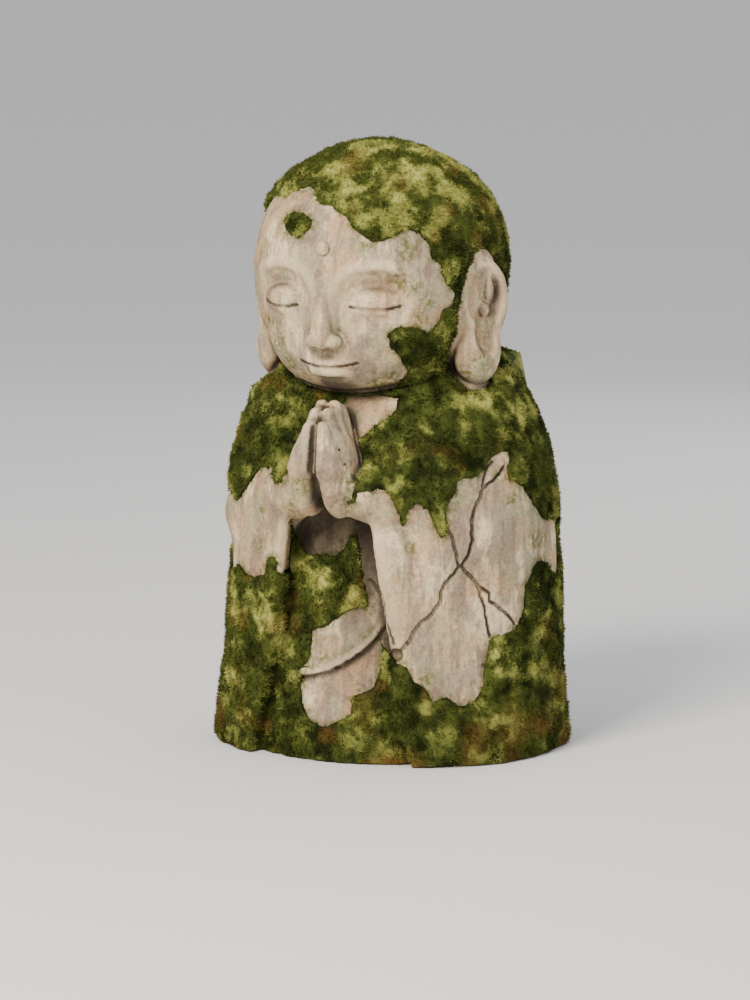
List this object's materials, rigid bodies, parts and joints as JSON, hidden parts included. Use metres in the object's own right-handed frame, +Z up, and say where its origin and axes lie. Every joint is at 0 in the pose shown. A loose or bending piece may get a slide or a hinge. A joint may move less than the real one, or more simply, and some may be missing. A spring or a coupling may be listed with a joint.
{
  "type": "stone jizo statue",
  "caption": "Small garden statue of a round-headed monk child carved from one stone, palms pressed together under the chin, sleeves hanging to the ground, with moss grown on head and robe.",
  "frame": {"origin": "middle of the flat underside, on the ground", "axes": "+Z up, the figure's height; the figure faces -Y; +X is its left side"},
  "size_m": [0.1516, 0.1415, 0.2582],
  "materials": {
    "stone": "rough weathered stone",
    "moss": "matt, soft and fibrous"
  },
  "bodies": {
    "root": {"stone_figure": "stone", "moss_on_head": "moss", "moss_on_robe": "moss"}
  },
  "joints": []
}
